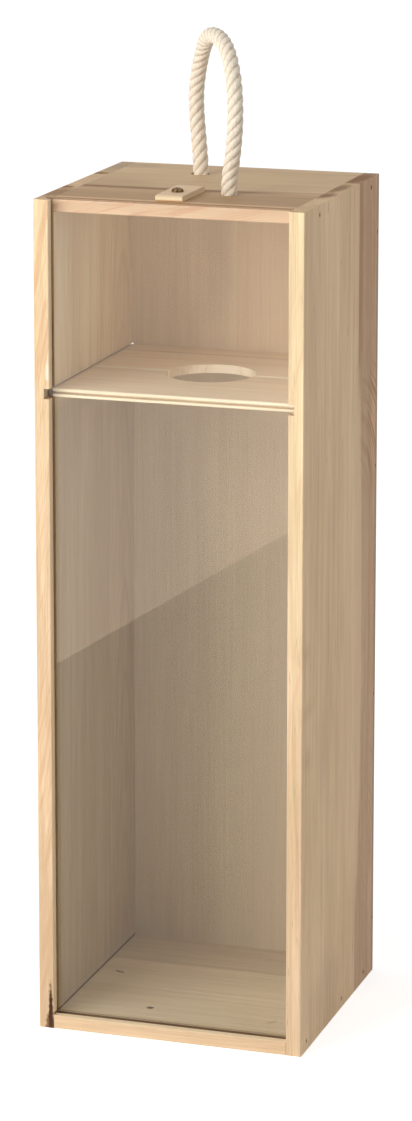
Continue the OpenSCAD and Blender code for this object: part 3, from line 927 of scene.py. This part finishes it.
def clear_acrylic():
    material, tree, shader = new_material("clear_acrylic")
    shader.inputs["Transmission Weight"].default_value = 1.0
    shader.inputs["IOR"].default_value = ACRYLIC_IOR
    faces = maths(tree, "MAXIMUM", facing(tree, "Y", -1), facing(tree, "Y", 1))
    edge = maths(tree, "SUBTRACT", 1.0, faces)
    where = add_node(tree, "TexCoord").outputs["Object"]
    height = add_node(tree, "SeparateXYZ", {"Vector": where}).outputs["Z"]
    # The edges are tan along the top and painted in shade below, in the grooves.
    edge_tan_and_shade = blend_colours(tree, fade(tree, height, *TOP_TO_GROOVE), TOP_EDGE_TAN, GROOVE_SHADE)
    tree.links.new(blend_colours(tree, edge, CLEAR_BODY, edge_tan_and_shade), shader.inputs["Base Color"])
    smudges = fade(tree, noise(tree, where, 22, 5.0, 3.0), 0.45, 0.8, 0.0, 0.05)
    rough = maths(tree, "MAXIMUM", smudges, maths(tree, "MULTIPLY", edge, 0.6))
    tree.links.new(rough, shader.inputs["Roughness"])
    light = add_node(tree, "LightPath").outputs
    clear = add_node(tree, "BsdfTransparent", {"Color": CLEAR_SHADOW}).outputs[0]
    lamps = add_node(tree, "MixShader", {0: light["Is Shadow Ray"], 1: shader.outputs[0], 2: clear})
    soft = add_node(tree, "MixShader", {0: light["Is Diffuse Ray"], 1: lamps.outputs[0], 2: clear})
    show_instead(tree, soft.outputs[0])
    return material


dress("sliding_front", clear_acrylic())
mirrored = ((ACRYLIC_IOR - 1) / (ACRYLIC_IOR + 1)) ** 2
print("each face mirrors, percent, seen straight on:", round(100 * mirrored, 1))

# %% [markdown]
# ## Steel: screw, nails and rings
#
# Steel that is handled is never one colour. Fine noise mixes the clean metal with a darker worn
# one, makes the worn places rougher and dents them a little. The scale of the noise suits the size
# of the piece: finest on the nails, coarsest on the rings.

# %% Steel
def steel(name, colour, roughness, scale, worn_colour=paint(70, 58, 48)):
    material, tree, shader = new_material(name)
    where = add_node(tree, "TexCoord").outputs["Object"]
    worn = noise(tree, where, scale, 3.0, 4.0)
    tree.links.new(blend_colours(tree, fade(tree, worn, 0.35, 0.7), colour, worn_colour),
                   shader.inputs["Base Color"])
    shader.inputs["Metallic"].default_value = 1.0
    tree.links.new(fade(tree, worn, 0.3, 0.7, roughness, roughness + 0.25),
                   shader.inputs["Roughness"])
    bump = add_node(tree, "Bump", {"Height": worn, "Distance": 0.00005, "Strength": 0.5})
    tree.links.new(bump.outputs[0], shader.inputs["Normal"])
    return material


dress("turn_button_screw", steel("screw_steel", paint(150, 122, 82), 0.35, 900, paint(48, 36, 20)))
dress("rope_clamps", steel("ring_steel", paint(150, 146, 138), 0.4, 400))
nail_iron = steel("nail_iron", paint(44, 34, 26), 0.6, 1500)
NAILS = ("top_nails", "bottom_nails", "back_nails")
for nails in NAILS:
    dress(nails, nail_iron)
print("sets of nails dressed:", len(NAILS))

# %% [markdown]
# ## Cotton rope
#
# In a rope laid to the right, the yarns of each strand turn the other way, so on the outside they
# run nearly along the rope. The material reads the straightened rope's points: noise stretched
# along it draws the yarns, and the grooves between strands are darker, where dust and shade lie.

# %% Cotton
GROOVE_MM = 3.3
CREST_MM = 3.95
SHADED_COTTON = paint(216, 193, 166)
CLEAN_COTTON = paint(254, 241, 219)


def cotton():
    material, tree, shader = new_material("cotton_yarn")
    point = add_node(tree, "Attribute", attribute_name="straight").outputs["Vector"]
    across = scaled(tree, point, (1000, 1000, 0))
    radius = add_node(tree, "VectorMath", {0: across}, operation="LENGTH").outputs["Value"]
    yarns = noise(tree, scaled(tree, point, (1000, 1000, 90)), 1.5, 2.0, 3.0, 0.55)
    fluff = noise(tree, scaled(tree, point, (1000, 1000, 600)), 1.7, 4.0, 3.0, 0.6)
    crest = fade(tree, radius, GROOVE_MM, CREST_MM)
    colour = blend_colours(tree, crest, SHADED_COTTON, CLEAN_COTTON)
    tone = maths(tree, "MULTIPLY", fade(tree, yarns, 0.3, 0.7, 0.93, 1.07),
                 fade(tree, fluff, 0.3, 0.7, 0.9, 1.08))
    grey = add_node(tree, "CombineColor", {0: tone, 1: tone, 2: tone}).outputs[0]
    tree.links.new(blend_colours(tree, 1.0, colour, grey, "MULTIPLY"), shader.inputs["Base Color"])
    shader.inputs["Roughness"].default_value = 0.9
    shader.inputs["Sheen Weight"].default_value = 0.25
    height = maths(tree, "MULTIPLY_ADD", fluff, 0.4, yarns)
    bump = add_node(tree, "Bump", {"Height": height, "Distance": 0.0005, "Strength": 0.8})
    tree.links.new(bump.outputs[0], shader.inputs["Normal"])
    return material


rope.data.materials.append(cotton())
print("shade ends", round(1000 * ROPE_D / 2 - CREST_MM, 2), "mm under the strands' crests")

# %% [markdown]
# ## The room
#
# The world is a pale room. What the eye, the metal and the sheet see of it is white, and the light
# it gives is half as strong, so that pale wood keeps its colour. The light path tells the two kinds
# of ray apart.

# %% Room
def seen_directly(tree):
    """1 for rays from the camera, off gloss or through glass, 0 for soft light."""
    light = add_node(tree, "LightPath").outputs
    mirrored = maths(tree, "MAXIMUM", light["Is Glossy Ray"], light["Is Transmission Ray"])
    return maths(tree, "MAXIMUM", light["Is Camera Ray"], mirrored)


ROOM_LIGHT = 0.5
WHITE = (1, 1, 1, 1)
world = bpy.data.worlds.new("room")
bpy.context.scene.world = world
world.use_nodes = True
air = world.node_tree
air.nodes.clear()
strength = fade(air, seen_directly(air), 0, 1, ROOM_LIGHT, 1.0)
sky = add_node(air, "Background", {"Color": WHITE, "Strength": strength})
add_node(air, "OutputWorld", {"Surface": sky.outputs[0]})
print("the room looks", round(1 / ROOM_LIGHT), "times as bright as the light it gives")

# %% [markdown]
# ## The floor
#
# The floor is a plain matt square that catches the box's shadow. It should seem to end nowhere, so
# it glows enough to look as white as the room behind it. The glow is for the eye and for mirrors,
# and soft light never meets it.

# %% Floor
FLOOR_SIZE = 12
FLOOR_GREY = (0.85, 0.85, 0.85, 1)
FLOOR_LIFT = 0.62

mesh = bmesh.new()
bmesh.ops.create_grid(mesh, x_segments=1, y_segments=1, size=0.5)
bmesh.ops.scale(mesh, vec=(FLOOR_SIZE, FLOOR_SIZE, 1), verts=mesh.verts)
floor = new_piece("floor", mesh)

floor_paint, tree, shader = new_material("floor_paint")
shader.inputs["Base Color"].default_value = FLOOR_GREY
shader.inputs["Roughness"].default_value = 0.9
shader.inputs["Specular IOR Level"].default_value = 0.0
lift = fade(tree, seen_directly(tree), 0, 1, 0, FLOOR_LIFT)
glow = add_node(tree, "Emission", {"Strength": lift})
both = add_node(tree, "AddShader", {0: shader.outputs[0], 1: glow.outputs[0]})
show_instead(tree, both.outputs[0])
floor.data.materials.append(floor_paint)
print("floor, metres:", [round(v, 2) for v in floor.dimensions])

# %% [markdown]
# ## What the sheet mirrors
#
# A clear sheet shows two things at once: the wood behind it and a faint mirror image of the floor
# in front. Two cards lie on that floor, a bright one and a dark one, and the seam between them is
# the slanting line on the sheet. Only glossy rays meet the cards, so they show in gloss and throw
# no light and no shadow. Painted on the sheet, the line would ride up with it; a mirror image
# stays true wherever the sheet stands.

# %% Mirrored cards
MIRROR_EDGE = [(-0.361, -0.070), (-0.102, -2.650)]
CARD_LIFT = 0.001
CARDS_RIGHT = 0.7
CARDS_LEFT = -1.6
DARK_CARD = (0.06, 0.06, 0.06, 1)
WARM_CARD = (2.3, 1.77, 1.37, 1)
BLACK = (0, 0, 0, 1)


def mirrored_card(name, corners, colour):
    """A card just above the floor that only glossy rays meet."""
    mesh = bmesh.new()
    mesh.faces.new([mesh.verts.new((x, y, CARD_LIFT)) for x, y in corners])
    card = new_piece(name, mesh)
    card.visible_camera = card.visible_diffuse = card.visible_shadow = False
    card.visible_transmission = False
    material, tree, shader = new_material(name)
    shader.inputs["Base Color"].default_value = BLACK
    shader.inputs["Emission Color"].default_value = colour
    shader.inputs["Emission Strength"].default_value = 1.0
    card.data.materials.append(material)


near, far = MIRROR_EDGE
mirrored_card("dark_card", [near, far, (CARDS_RIGHT, far[1]), (CARDS_RIGHT, near[1])], DARK_CARD)
mirrored_card("warm_card", [far, near, (CARDS_LEFT, near[1]), (CARDS_LEFT, far[1])], WARM_CARD)
print("cards reach, metres:", round(CARDS_RIGHT - CARDS_LEFT, 2), "by", round(near[1] - far[1], 2))

# %% [markdown]
# ## The lamp
#
# One large soft lamp stands in front, to the left. Watts say little about how bright a face will
# look, so the helper works backwards: `level` is the light that a white face turned to the lamp
# sends back, and 1 would be pure white. A lamp that is small for its distance needs
# level * (pi * distance)^2 watts for that. This one is large, so it gives somewhat less.

# %% Lamp
LAMP_AIM_Z = 0.22


def soft_lamp(name, azimuth, elevation, distance, size, level):
    """A square lamp that looks at the box's middle from an azimuth and an elevation in degrees."""
    data = bpy.data.lights.new(name, "AREA")
    data.size = size
    data.energy = level * (math.pi * distance) ** 2
    lamp = bpy.data.objects.new(name, data)
    around = Matrix.Rotation(math.radians(azimuth), 4, "Z")
    down = Matrix.Rotation(math.radians(90 - elevation), 4, "X")
    middle = Matrix.Translation((0, 0, LAMP_AIM_Z))
    lamp.matrix_world = middle @ around @ down @ Matrix.Translation((0, 0, distance))
    bpy.context.scene.collection.objects.link(lamp)
    return lamp


key_lamp = soft_lamp("key_lamp", azimuth=-35, elevation=18, distance=1.6, size=1.1, level=0.66)
print("key lamp, watts:", round(key_lamp.data.energy, 1))
